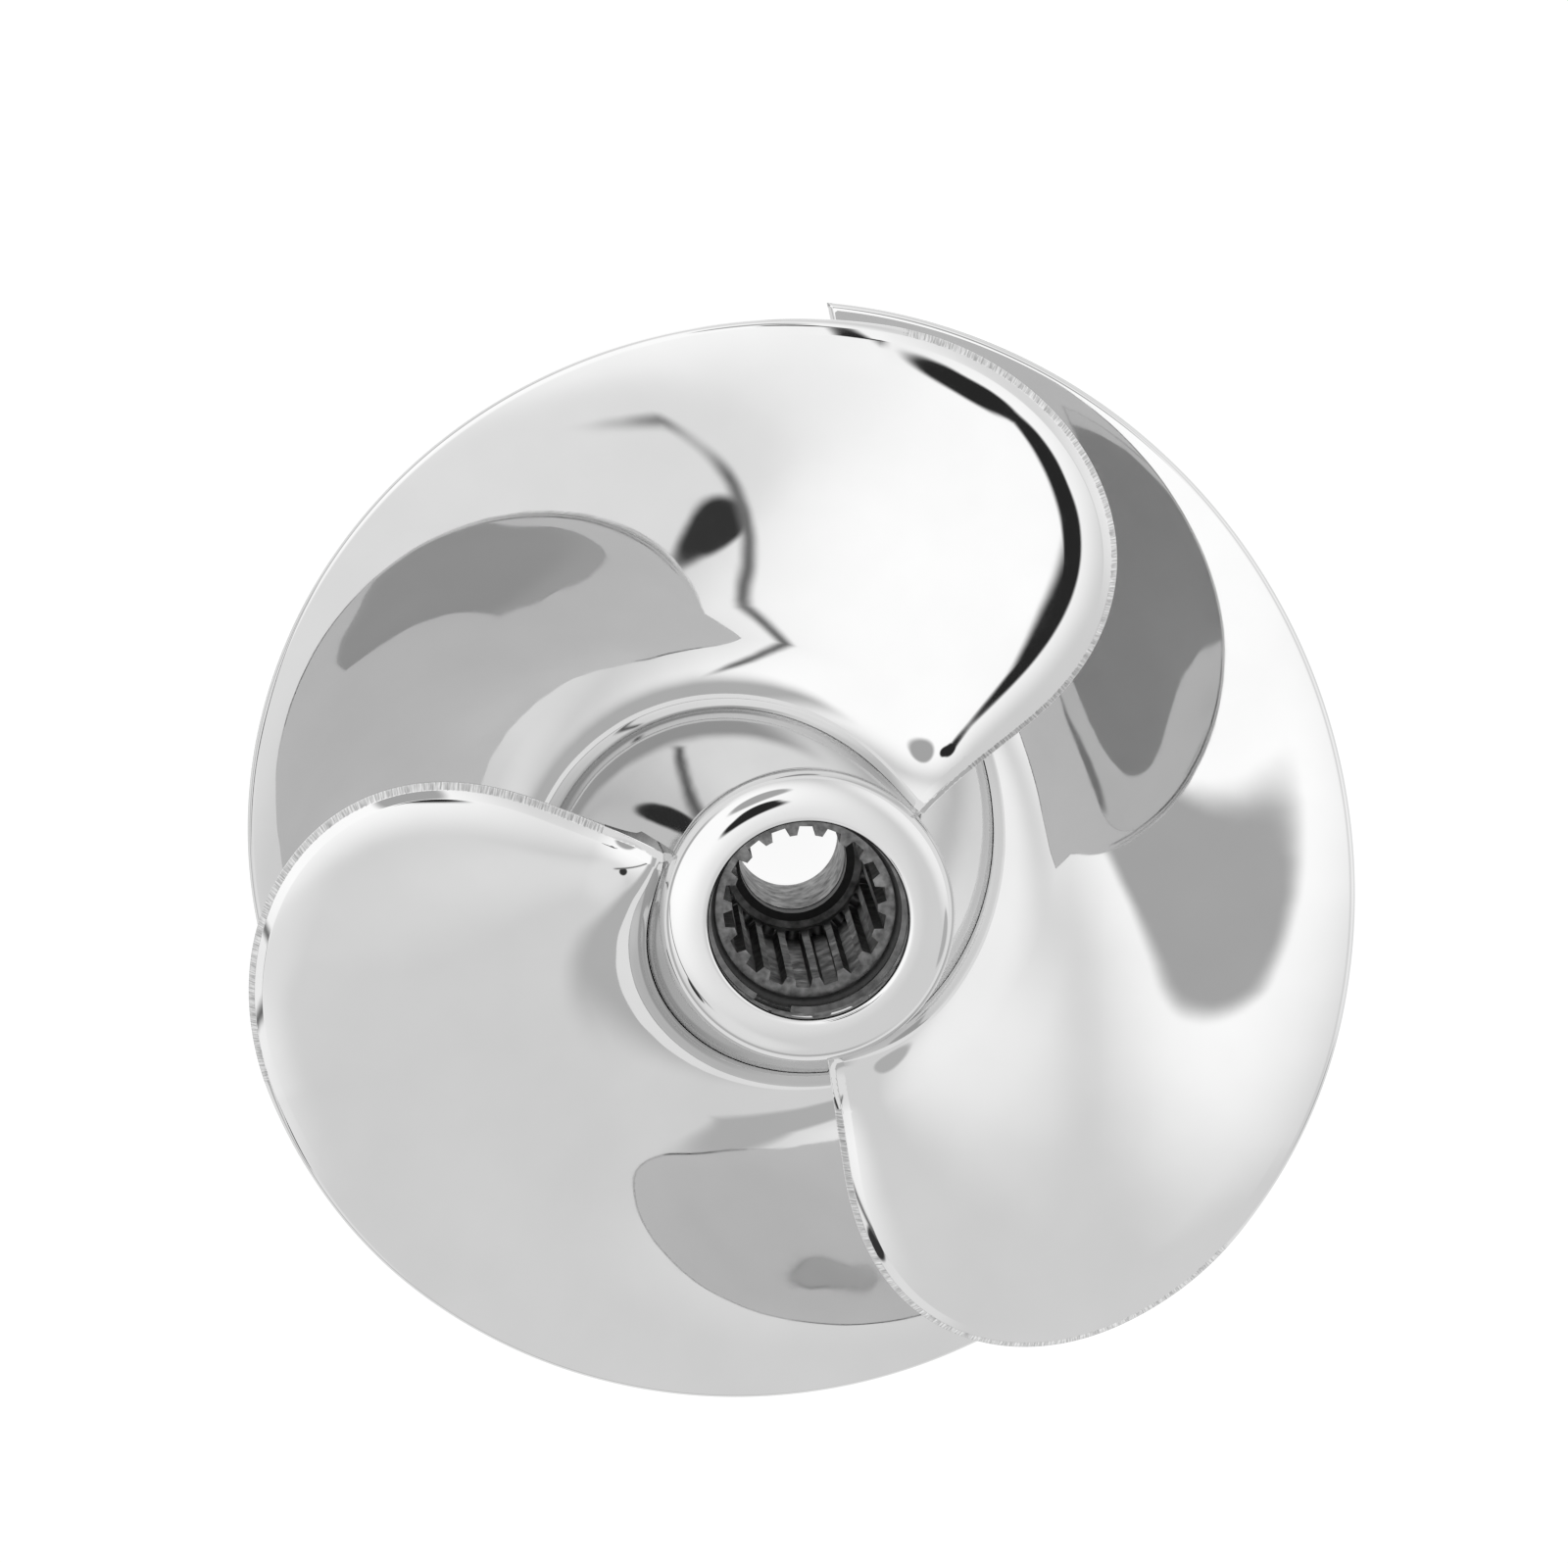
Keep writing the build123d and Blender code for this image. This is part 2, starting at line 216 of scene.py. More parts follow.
def spin(name, profile):
    """Mesh turned from a closed profile of (radius, height) points round the axis."""
    profile = np.array(profile, float)
    count = len(profile)
    turns = np.linspace(0, 2 * math.pi, SPIN_STEPS, endpoint=False)
    ring = np.stack([np.cos(turns), np.sin(turns)], 1)
    points = np.empty((SPIN_STEPS, count, 3))
    points[:, :, :2] = ring[:, None, :] * profile[None, :, 0, None]
    points[:, :, 2] = profile[:, 1]
    faces = []
    for step in range(SPIN_STEPS):
        here, ahead = step * count, (step + 1) % SPIN_STEPS * count
        for place in range(count):
            beyond = (place + 1) % count
            faces.append((here + place, here + beyond, ahead + beyond, ahead + place))
    mesh = bpy.data.meshes.new(name)
    mesh.from_pydata((points.reshape(-1, 3) * MM).tolist(), [], faces)
    mesh.shade_smooth()
    mesh.set_sharp_from_angle(angle=math.radians(SHARP_ANGLE))
    piece = bpy.data.objects.new(name, mesh)
    bpy.context.scene.collection.objects.link(piece)
    return piece


def hub_profile():
    """The four runs of the hub's closed section: outside, rear hollow, bore and mouth lip."""
    heights = np.linspace(SHOULDER_HEIGHT, 0, FLANK_STEPS)[1:]
    outside = [(r, z) for r, z in nose_points()]
    outside += [(float(flank_radius(z)), z) for z in heights]
    hollow_heights = np.linspace(0, WEB_HEIGHT, HOLLOW_STEPS)
    rear = [(float(flank_radius(z)) - SHELL_WALL, z) for z in hollow_heights]
    rear += [(BOSS_RADIUS, WEB_HEIGHT), (BOSS_RADIUS, BOSS_RECESS)]
    seal_groove = SEAL_HIGH[0]
    bore = [
        (REAR_BORE_RADIUS, BOSS_RECESS),
        (REAR_BORE_RADIUS, BUMPER_LOW[2]),
        (BUMPER_HIGH[0], BUMPER_LOW[2]),
        (BUMPER_HIGH[0], BUMPER_HIGH[2]),
        (SLEEVE_RADIUS, SLEEVE_LOW[2]),
        (SLEEVE_RADIUS, SLEEVE_HIGH[2]),
        (seal_groove, SLEEVE_HIGH[2]),
        (seal_groove, SEAL_HIGH[2]),
        (MOUTH_RADIUS, SEAL_HIGH[2]),
        (MOUTH_RADIUS, RING_LOW[2]),
        (RING_RADIUS, RING_LOW[2]),
        (RING_RADIUS, RING_HIGH[2]),
        (MOUTH_RADIUS, RING_HIGH[2]),
    ]
    x, y = MOUTH_RADIUS + MOUTH_LIP, HUB_HEIGHT - MOUTH_LIP
    turn = np.linspace(math.pi, math.pi / 2, LIP_STEPS)
    lip = [(x + MOUTH_LIP * math.cos(a), y + MOUTH_LIP * math.sin(a)) for a in turn]
    return outside, rear, bore, lip


def make_hub(polished, machined, cast):
    """The hub: polished outside, machined bore, and a rear hollow left as cast."""
    outside, rear, bore, lip = hub_profile()
    profile = outside + rear + bore + lip
    piece = spin("hub_body", profile)
    for material in (polished, machined, cast):
        piece.data.materials.append(material)
    zone = [0] * (len(outside) - 1) + [2] * (len(rear) + 1)
    zone += [1] * (len(bore) - 1) + [0] * (len(lip) + 1)
    zones = np.tile(zone, SPIN_STEPS).astype(np.int32)
    piece.data.polygons.foreach_set("material_index", zones)
    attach(piece, "root")
    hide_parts("hub")


# ---- blades ------------------------------------------------------------------------------------
def fall(behind):
    """Drop of the blade at an angle behind its leading-edge root; it sets in gently."""
    return LEAD * (behind - LEAD_EASE * (1 - np.exp(-behind / LEAD_EASE)))


def face_height(radius, behind):
    """Nose-side face of the blade, without fillet or edge forms; behind is in degrees."""
    outward = smooth_step((radius - TIP_RISE_RADIUS) / (TIP_RADIUS - TIP_RISE_RADIUS))
    rise = TIP_RISE * outward * smooth_step((behind - TIP_RISE_START) / TIP_RISE_SPREAD)
    return EDGE_HEIGHT - fall(behind) + rise


def thickness(radius, behind):
    """Thickness along the axis, which grows with the blade's slope."""
    slope = LEAD * (1 - np.exp(-behind / LEAD_EASE)) * math.degrees(1) / radius
    span = (radius - SHOULDER_RADIUS) / (TIP_RADIUS - SHOULDER_RADIUS)
    return (ROOT_THICKNESS + (TIP_THICKNESS - ROOT_THICKNESS) * span) * np.sqrt(1 + slope ** 2)


def under_height(radius, behind):
    return face_height(radius, behind) - thickness(radius, behind)


def root_radius(face, behind):
    """Radius at which a face of the blade meets the hub's flank."""
    radius = np.full_like(behind, WAIST_RADIUS)
    for _ in range(ROOT_SEARCH):
        radius = flank_radius(face(radius, behind))
    return radius


def upper_fillet(radius, behind):
    """Rise of the fillet that leaves the face smoothly and runs up the hub's side."""
    root = root_radius(face_height, behind)
    top = face_height(root, behind) + FILLET_HEIGHT
    toe = flank_radius(top) - ROOT_SINK - root
    distance = np.minimum(radius - root, FILLET_WIDTH)
    inner = np.maximum(toe ** 2 - (FILLET_WIDTH + toe) * (toe - distance), 1e-9)
    share = (toe + np.sqrt(inner)) / (FILLET_WIDTH + toe)
    rise = FILLET_HEIGHT * (1 - np.clip(share, 0, 1)) ** 2
    return rise + FILLET_RUN_UP * np.maximum(toe - distance, 0)


def under_fillet(radius, behind):
    """Fillet below the blade; it ends upright where it meets the hub's side."""
    root = root_radius(under_height, behind)
    toe = flank_radius(under_height(root, behind) - FILLET_HEIGHT) - ROOT_SINK - root
    share = np.clip((radius - root - toe) / (FILLET_WIDTH + UNDER_FILLET_EXTRA), 0, 1)
    return FILLET_HEIGHT * (1 - np.sqrt(share)) ** 2


def border():
    """Outline of the blade seen along the axis, as x, y: leading edge, tip, trailing edge.

    Also gives the place in it where the leading edge starts to swing back.
    """
    reach = TIP_RADIUS - EDGE_SWEEP_START
    start = float(flank_radius(EDGE_HEIGHT + FILLET_HEIGHT)) - ROOT_BURIED
    straight = [(radius, 0.0) for radius in np.arange(start, EDGE_SWEEP_START, BORDER_STEP)]
    lean = np.linspace(0, math.pi / 2, SWEEP_STEPS)
    swept = list(zip(EDGE_SWEEP_START + reach * np.sin(lean), EDGE_SWEEP * (1 - np.cos(lean))))
    count = int(math.radians(WRAP_AT_TIP - EDGE_SWEEP) * TIP_RADIUS / BORDER_STEP)
    tip = [(TIP_RADIUS, angle) for angle in np.linspace(EDGE_SWEEP, WRAP_AT_TIP, count)[1:]]
    polar = np.array(straight + swept + tip)
    turn = np.radians(polar[:, 1])
    flat = np.stack([polar[:, 0] * np.cos(turn), polar[:, 0] * np.sin(turn)], 1)
    rim_turn = math.radians(WRAP_AT_ROOT)
    corner = np.array([RIM_RADIUS * math.cos(rim_turn), RIM_RADIUS * math.sin(rim_turn)])
    length = np.linalg.norm(corner - flat[-1])
    ahead = (corner - flat[-1]) / length
    trail = [flat[-1] + ahead * step for step in np.arange(BORDER_STEP, length, BORDER_STEP)]
    radii = np.arange(RIM_RADIUS, TRAIL_END_RADIUS, -BORDER_STEP)
    inward = [corner * radius / RIM_RADIUS for radius in radii]
    return np.vstack([flat, trail, inward]), len(straight)


BORDER, SWEEP_AT = border()
STEPS = np.linalg.norm(np.diff(BORDER, axis=0), axis=1)
ALONG = np.concatenate([[0], np.cumsum(STEPS)])


def edge_weight():
    """How far each border point has the leading edge's form: 1 there, fading to 0 round the tip."""
    degrees = np.degrees(np.arctan2(BORDER[:, 1], BORDER[:, 0]))
    weight = 1 - smooth_step((degrees - EDGE_SWEEP - BEVEL_FADE_START) / BEVEL_FADE)
    weight[:SWEEP_AT] = 1
    return weight


WEIGHT = edge_weight()


def nearest_border(points):
    """Distance to the border, and the border's arc length and edge weight at the nearest place."""
    start = BORDER[:-1]
    span = np.diff(BORDER, axis=0)
    squared = (span ** 2).sum(1)
    distance, along, weight = [], [], []
    for chunk in np.array_split(points, max(1, len(points) // CHUNK)):
        offset = chunk[:, None, :] - start[None]
        share = np.clip((offset * span).sum(2) / squared, 0, 1)
        gap = offset - share[:, :, None] * span
        far = (gap ** 2).sum(2)
        best = far.argmin(1)
        row = np.arange(len(chunk))
        part = share[row, best]
        distance.append(np.sqrt(far[row, best]))
        along.append(ALONG[best] + part * STEPS[best])
        weight.append(WEIGHT[best] + part * (WEIGHT[best + 1] - WEIGHT[best]))
    return np.concatenate(distance), np.concatenate(along), np.concatenate(weight)


def edge_drop(distance, weight, radius):
    """How far the nose-side face is lowered near the border."""
    growth = smooth_step((radius - SHOULDER_RADIUS - ROLL_GROWTH_START) / ROLL_GROWTH)
    share = ROLL_AT_HUB + (1 - ROLL_AT_HUB) * growth
    roll = ROLL_DROP * np.clip(1 - distance / ROLL_WIDTH, 0, 1) ** ROLL_POWER * share
    bevel = BEVEL_SLOPE * np.maximum(BEVEL_WIDTH - distance, 0)
    ground = GROUND_SLOPE * np.maximum(GROUND_WIDTH - distance, 0)
    rounded = edge_round(distance, TIP_ROUND)
    return weight * (roll + bevel + ground) + (1 - weight) * rounded


def edge_round(distance, size):
    """How far a round of the given size takes the surface back near the border."""
    near = np.clip(1 - distance / size, 0, 1)
    return size * (1 - np.sqrt(np.maximum(1 - near ** 2, ROUND_FLOOR)))


def to_polar(points):
    """Radius, and angle behind the leading-edge root in degrees."""
    return np.hypot(points[:, 0], points[:, 1]), np.degrees(np.arctan2(points[:, 1], points[:, 0]))


def to_flat(radius, behind):
    turn = np.radians(behind)
    return np.stack([radius * np.cos(turn), radius * np.sin(turn)], 1)


def upper_surface(points):
    radius, behind = to_polar(points)
    distance, _, weight = nearest_border(points)
    height = face_height(radius, behind) + upper_fillet(radius, behind)
    return height - edge_drop(distance, weight, radius)


def under_surface(points):
    radius, behind = to_polar(points)
    distance = nearest_border(points)[0]
    height = under_height(radius, behind) - under_fillet(radius, behind)
    return np.maximum(height + edge_round(distance, UNDER_ROUND), 0.0)


def offset_rings():
    """Points at set distances inside the border, so that the edge's bands have crisp lines."""
    direction = np.gradient(BORDER, axis=0)
    direction /= np.linalg.norm(direction, axis=1)[:, None]
    inward = np.stack([-direction[:, 1], direction[:, 0]], 1)
    rings = []
    for gap in BAND_GAPS:
        ring = BORDER + gap * inward
        distance = nearest_border(ring)[0]
        rings.append(ring[np.abs(distance - gap) < BAND_SLACK])
    return np.vstack(rings)


def inside_outline(points, outline):
    """Which points lie inside a closed outline."""
    x, y = points[:, 0], points[:, 1]
    inside = np.zeros(len(points), bool)
    for (x1, y1), (x2, y2) in zip(outline, np.roll(outline, -1, axis=0)):
        crosses = (y1 > y) != (y2 > y)
        at = (x2 - x1) * (y - y1) / (y2 - y1 + 1e-12) + x1
        inside ^= crosses & (x < at)
    return inside


def fillet_toe(root, behind):
    """Where the fillet runs out on the hub's skin, measured from the root."""
    return flank_radius(face_height(root, behind) + FILLET_HEIGHT) - root


def inner_border():
    """Inner end of the blade, just under the hub's skin, from trailing to leading edge."""
    last = math.degrees(math.atan2(BORDER[-1, 1], BORDER[-1, 0]))
    behind = np.linspace(last, 0, INNER_STEPS)[1:-1]
    root = root_radius(face_height, behind)
    toe = flank_radius(face_height(root, behind) + FILLET_HEIGHT) - ROOT_BURIED
    blend = smooth_step((behind - last + INNER_BLEND) / INNER_BLEND)
    return to_flat(toe * (1 - blend) + np.hypot(*BORDER[-1]) * blend, behind)


def clear_of(points, line, gap):
    """The points that keep more than a gap from the points of a line."""
    return points[np.linalg.norm(points[:, None, :] - line[None], axis=2).min(1) > gap]


def grid_points(outline):
    """Points over the open face of the blade, clear of its edges and its root fillet."""
    rows = []
    for index, radius in enumerate(np.arange(SHOULDER_RADIUS - 1, TIP_RADIUS, GRID)):
        count = int(math.radians(WRAP_AT_TIP) * radius / GRID)
        turn = np.radians(np.linspace(0, WRAP_AT_TIP, count)) + (index % 2) * 0.5 * GRID / radius
        rows.append(np.stack([radius * np.cos(turn), radius * np.sin(turn)], 1))
    points = np.vstack(rows)
    points = points[inside_outline(points, outline)]
    points = points[nearest_border(points)[0] > GRID_INSET]
    radius, behind = to_polar(points)
    return points[radius > root_radius(face_height, behind) + FILLET_WIDTH + FILLET_CLEAR]


def fillet_points(outline, inner):
    """Rings of points along the root fillet, closer together towards the hub."""
    behind = np.linspace(FILLET_FIRST, WRAP_AT_ROOT + FILLET_PAST, FILLET_STEPS)
    root = root_radius(face_height, behind)
    toe = fillet_toe(root, behind)
    rings = []
    for share in np.linspace(0, 1, FILLET_RINGS):
        rings.append(to_flat(root + toe * (1 - share) ** 2 + FILLET_WIDTH * share ** 2, behind))
    points = np.vstack(rings)
    points = points[inside_outline(points, outline)]
    points = points[nearest_border(points)[0] > FILLET_TO_BORDER]
    return clear_of(points, inner, FILLET_TO_INNER)


def planform_mesh():
    """Triangles over the blade's outline, fine near the edges and the root."""
    inner = inner_border()
    outline = np.vstack([BORDER, inner])
    bands = offset_rings()
    bands = clear_of(bands[inside_outline(bands, outline)], inner, BAND_TO_INNER)
    points = np.vstack([outline, bands, fillet_points(outline, inner), grid_points(outline)])
    loop = list(range(len(outline)))
    edges = [(place, (place + 1) % len(outline)) for place in loop]
    result = delaunay_2d_cdt([Vector(p) for p in points], edges, [loop], 1, 1e-5)
    flat = np.array([(v.x, v.y) for v in result[0]])
    faces = np.array([f for f in result[2] if len(f) == 3])
    sources = [o[0] if o else -1 for o in result[3]]
    place_of = {source: index for index, source in enumerate(sources) if source >= 0}
    return flat, faces, [place_of[index] for index in loop]


def surface_normals(surface, points, up):
    """Normals of a surface from its slopes; up is 1 for its upper side and -1 for its lower."""
    step = SLOPE_STEP
    dx = (surface(points + (step, 0)) - surface(points - (step, 0))) / (2 * step)
    dy = (surface(points + (0, step)) - surface(points - (0, step))) / (2 * step)
    normal = np.stack([-dx, -dy, np.ones(len(points))], 1)
    normal /= np.linalg.norm(normal, axis=1)[:, None]
    return normal * up


def wall_normals(outline):
    """Sideways normals for the four corners of each wall face round the outline."""
    tangent = np.roll(outline, -1, axis=0) - np.roll(outline, 1, axis=0)
    outward = np.stack([tangent[:, 1], -tangent[:, 0], np.zeros(len(outline))], 1)
    outward /= np.linalg.norm(outward, axis=1)[:, None]
    ahead = np.roll(outward, -1, axis=0)
    return np.stack([outward, outward, ahead, ahead], 1).reshape(-1, 3)


def ground_marks(flat, faces, loop, distance, weight):
    """Which faces lie in the ground band of the leading edge."""
    clear = np.hypot(flat[:, 0], flat[:, 1]) > SHOULDER_RADIUS + GROUND_START
    top = (distance[faces].mean(1) < GROUND_WIDTH) & (weight[faces].mean(1) > 0.5) & clear[faces].all(1)
    walls = (weight[loop] > 0.5) & clear[loop]
    walls[len(BORDER) - 1:] = False
    return np.concatenate([top, np.zeros(len(faces), bool), walls])


def blade_mesh():
    """One closed blade with its leading-edge root along +X, and its surfaces' own normals."""
    flat, faces, loop = planform_mesh()
    count = len(flat)
    areas = np.cross(flat[faces[:, 1]] - flat[faces[:, 0]], flat[faces[:, 2]] - flat[faces[:, 0]])
    faces[areas < 0] = faces[areas < 0][:, ::-1]
    upper = upper_surface(flat)
    under = np.minimum(under_surface(flat), upper - LEAST_THICKNESS)
    points = np.vstack([np.column_stack([flat, upper]), np.column_stack([flat, under])])
    walls = []
    for here, ahead in zip(loop, loop[1:] + loop[:1]):
        walls.append((here, here + count, ahead + count, ahead))
    polygons = [tuple(face) for face in faces] + [tuple(face[::-1] + count) for face in faces] + walls
    normals = np.vstack([
        surface_normals(upper_surface, flat, 1)[faces].reshape(-1, 3),
        surface_normals(under_surface, flat, -1)[faces[:, ::-1]].reshape(-1, 3),
        wall_normals(flat[loop]),
    ])
    distance, along, weight = nearest_border(flat)
    marks = ground_marks(flat, faces, np.array(loop), distance, weight)
    chart = np.stack([along, distance], 1)
    return points, polygons, normals, np.vstack([chart, chart + (0, CHART_APART)]), marks


def make_blades(polished, ground):
    """The blades, each a turned copy of one mesh, with a ground band on the leading edge."""
    points, polygons, normals, chart, marks = blade_mesh()
    chart = chart * MM
    for index in range(BLADE_COUNT):
        angle = math.radians(FIRST_BLADE_ANGLE + index * 360 / BLADE_COUNT)
        turn = np.array(Matrix.Rotation(angle, 3, "Z"))
        name = f"blade_{index + 1}_polished"
        mesh = bpy.data.meshes.new(name)
        mesh.from_pydata((points @ turn.T * MM).tolist(), [], polygons)
        mesh.shade_smooth()
        corners = np.empty(len(mesh.loops), np.int32)
        mesh.loops.foreach_get("vertex_index", corners)
        layer = mesh.uv_layers.new(name="edge_chart")
        layer.data.foreach_set("uv", chart[corners].astype(np.float32).ravel())
        mesh.normals_split_custom_set((normals @ turn.T).tolist())
        mesh.materials.append(polished)
        mesh.materials.append(ground)
        mesh.polygons.foreach_set("material_index", marks.astype(np.int32))
        piece = bpy.data.objects.new(name, mesh)
        bpy.context.scene.collection.objects.link(piece)
        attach(piece, "root")
        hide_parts(f"blade_{index + 1}")


# ---- materials ---------------------------------------------------------------------------------
def new_material(name):
    material = bpy.data.materials.new(name)
    material.use_nodes = True
    nodes = material.node_tree.nodes
    return material, nodes, material.node_tree.links, nodes["Principled BSDF"]


def noise(nodes, links, vector, scale, detail=3.0):
    node = nodes.new("ShaderNodeTexNoise")
    node.inputs["Scale"].default_value = scale
    node.inputs["Detail"].default_value = detail
    links.new(vector, node.inputs["Vector"])
    return node.outputs["Fac"]


def remap(nodes, links, value, low, high, to_low, to_high):
    node = nodes.new("ShaderNodeMapRange")
    for name, number in (("From Min", low), ("From Max", high), ("To Min", to_low), ("To Max", to_high)):
        node.inputs[name].default_value = number
    links.new(value, node.inputs["Value"])
    return node.outputs["Result"]


def bump(nodes, links, shader, height, strength, distance):
    node = nodes.new("ShaderNodeBump")
    node.inputs["Strength"].default_value = strength
    node.inputs["Distance"].default_value = distance
    links.new(height, node.inputs["Height"])
    links.new(node.outputs["Normal"], shader.inputs["Normal"])


def grey(nodes, links, shader, value, low, high, dark, light):
    """Drives the base colour between two greys."""
    tone = remap(nodes, links, value, low, high, dark, light)
    colour = nodes.new("ShaderNodeCombineColor")
    for channel in ("Red", "Green", "Blue"):
        links.new(tone, colour.inputs[channel])
    links.new(colour.outputs["Color"], shader.inputs["Base Color"])


def polished_steel():
    material, nodes, links, shader = new_material("polished_steel")
    place = nodes.new("ShaderNodeTexCoord").outputs["Object"]
    shader.inputs["Metallic"].default_value = 1.0
    grey(nodes, links, shader, noise(nodes, links, place, 60.0), 0.3, 0.7, 0.64, 0.67)
    haze = remap(nodes, links, noise(nodes, links, place, 220.0, 5.0), 0.35, 0.75, 0.02, 0.06)
    links.new(haze, shader.inputs["Roughness"])
    waves = noise(nodes, links, place, 75.0, 1.5)
    bump(nodes, links, shader, waves, 0.35, 0.0001)
    return material


def ground_edge():
    """Edge band ground across its length, which leaves fine striations."""
    material, nodes, links, shader = new_material("ground_edge")
    chart = nodes.new("ShaderNodeUVMap")
    chart.uv_map = "edge_chart"
    stretch = nodes.new("ShaderNodeMapping")
    stretch.inputs["Scale"].default_value = (1.0, 0.12, 1.0)
    links.new(chart.outputs["UV"], stretch.inputs["Vector"])
    lines = noise(nodes, links, stretch.outputs["Vector"], 4200.0, 2.0)
    shader.inputs["Metallic"].default_value = 1.0
    grey(nodes, links, shader, lines, 0.35, 0.65, 0.38, 0.75)
    shader.inputs["Roughness"].default_value = 0.3
    bump(nodes, links, shader, lines, 0.3, 0.00005)
    return material


def machined_steel():
    material, nodes, links, shader = new_material("machined_steel")
    place = nodes.new("ShaderNodeTexCoord").outputs["Object"]
    shader.inputs["Metallic"].default_value = 0.85
    grey(nodes, links, shader, noise(nodes, links, place, 900.0, 6.0), 0.3, 0.7, 0.10, 0.30)
    rough = remap(nodes, links, noise(nodes, links, place, 500.0), 0.3, 0.7, 0.35, 0.6)
    links.new(rough, shader.inputs["Roughness"])
    return material


def cast_steel():
    material, nodes, links, shader = new_material("cast_steel")
    place = nodes.new("ShaderNodeTexCoord").outputs["Object"]
    shader.inputs["Metallic"].default_value = 0.9
    grey(nodes, links, shader, noise(nodes, links, place, 300.0, 6.0), 0.3, 0.7, 0.35, 0.5)
    rough = remap(nodes, links, noise(nodes, links, place, 700.0), 0.3, 0.7, 0.3, 0.5)
    links.new(rough, shader.inputs["Roughness"])
    return material


def black_rubber():
    material, nodes, links, shader = new_material("black_rubber")
    place = nodes.new("ShaderNodeTexCoord").outputs["Object"]
    grey(nodes, links, shader, noise(nodes, links, place, 900.0), 0.3, 0.7, 0.006, 0.02)
    shader.inputs["Roughness"].default_value = 0.5
    return material


def spring_steel():
    material, nodes, links, shader = new_material("spring_steel")
    place = nodes.new("ShaderNodeTexCoord").outputs["Object"]
    shader.inputs["Metallic"].default_value = 1.0
    grey(nodes, links, shader, noise(nodes, links, place, 700.0), 0.3, 0.7, 0.10, 0.20)
    shader.inputs["Roughness"].default_value = 0.3
    return material


def dress(node, material):
    """Gives a CAD node its material."""
    materials = frame["nodes"][node].data.materials
    materials.clear()
    materials.append(material)


# ---- studio ------------------------------------------------------------------------------------
CAMERA_TILT = (8.6635, 2.4065)              # degrees about the picture's X, then its Y
CAMERA_SHIFT = (3.327, -18.845)             # millimetres that the nose lies off the lens axis
CAMERA_DISTANCE = 629.88
LENS = 107.53
SENSOR_WIDTH = 36.0
CLIP_START = 0.01
FLOOR_HALF = 3.0                            # metres
FLOOR_GAP = 0.0001                          # keeps the floor clear of the faces that rest on it


def make_camera():
    """Camera on the nose side, tilted a little off the shaft's axis."""
    tilt = Matrix.Rotation(math.radians(CAMERA_TILT[0]), 3, "X")
    swing = Matrix.Rotation(math.radians(CAMERA_TILT[1]), 3, "Y")
    to_camera = tilt @ swing
    back = to_camera.transposed()
    place = back @ Vector((-CAMERA_SHIFT[0], -CAMERA_SHIFT[1], CAMERA_DISTANCE))
    place.z += HUB_HEIGHT
    data = bpy.data.cameras.new("camera")
    data.lens = LENS
    data.sensor_width = SENSOR_WIDTH
    data.clip_start = CLIP_START
    camera = bpy.data.objects.new("camera", data)
    camera.matrix_world = Matrix.Translation(place * MM) @ back.to_4x4()
    bpy.context.scene.collection.objects.link(camera)
    bpy.context.scene.camera = camera


def make_floor():
    """Plain pale floor that glows evenly, as a light table does."""
    mesh = bpy.data.meshes.new("floor")
    signs = ((-1, -1), (1, -1), (1, 1), (-1, 1))
    corners = [(x * FLOOR_HALF, y * FLOOR_HALF, -FLOOR_GAP) for x, y in signs]
    mesh.from_pydata(corners, [], [(0, 1, 2, 3)])
    material, _, _, shader = new_material("pale_floor")
    shader.inputs["Base Color"].default_value = (0.12, 0.12, 0.12, 1)
    shader.inputs["Roughness"].default_value = 0.9
    shader.inputs["Specular IOR Level"].default_value = 0.0
    shader.inputs["Emission Color"].default_value = (1, 1, 1, 1)
    shader.inputs["Emission Strength"].default_value = FLOOR_GLOW
    mesh.materials.append(material)
    floor = bpy.data.objects.new("floor", mesh)
    bpy.context.scene.collection.objects.link(floor)


def lobe(nodes, links, direction, axis, start, end):
    """1 towards an axis and 0 away from it; start and end are cosines."""
    dot = nodes.new("ShaderNodeVectorMath")
    dot.operation = "DOT_PRODUCT"
    links.new(direction, dot.inputs[0])
    dot.inputs[1].default_value = Vector(axis).normalized()
    ramp = nodes.new("ShaderNodeMapRange")
    ramp.interpolation_type = "SMOOTHSTEP"
    ramp.inputs["From Min"].default_value = start
    ramp.inputs["From Max"].default_value = end
    links.new(dot.outputs["Value"], ramp.inputs["Value"])
    return ramp.outputs["Result"]


def blend(nodes, links, share, first, second):
    node = nodes.new("ShaderNodeMix")
    node.data_type = "FLOAT"
    links.new(share, node.inputs["Factor"])
    for socket, value in ((node.inputs[2], first), (node.inputs[3], second)):
        if isinstance(value, (int, float)):
            socket.default_value = value
        else:
            links.new(value, socket)
    return node.outputs[0]


def toward(azimuth, elevation):
    turn, lift = math.radians(azimuth), math.radians(elevation)
    return (math.cos(lift) * math.cos(turn), math.cos(lift) * math.sin(turn), math.sin(lift))


FLOOR_GLOW = 0.93
BASE_LEVEL = 0.93
# each patch of the surroundings: azimuth, elevation, the cosines where it starts and is full, its level
SURROUNDINGS = (
    (150, 42, 0.35, 0.93, 1.48),
    (30, 5, 0.60, 0.98, 1.30),
    (245, 35, 0.90, 0.99, 1.08),
    (114, 46, 0.968, 0.985, 0.55),
    (342, 15, 0.975, 0.988, 0.62),
    (224, 33, 0.9945, 0.9975, 0.05),
    (128, 76, 0.989, 0.995, 0.03),
    (120, 71, 0.993, 0.997, 0.03),
)
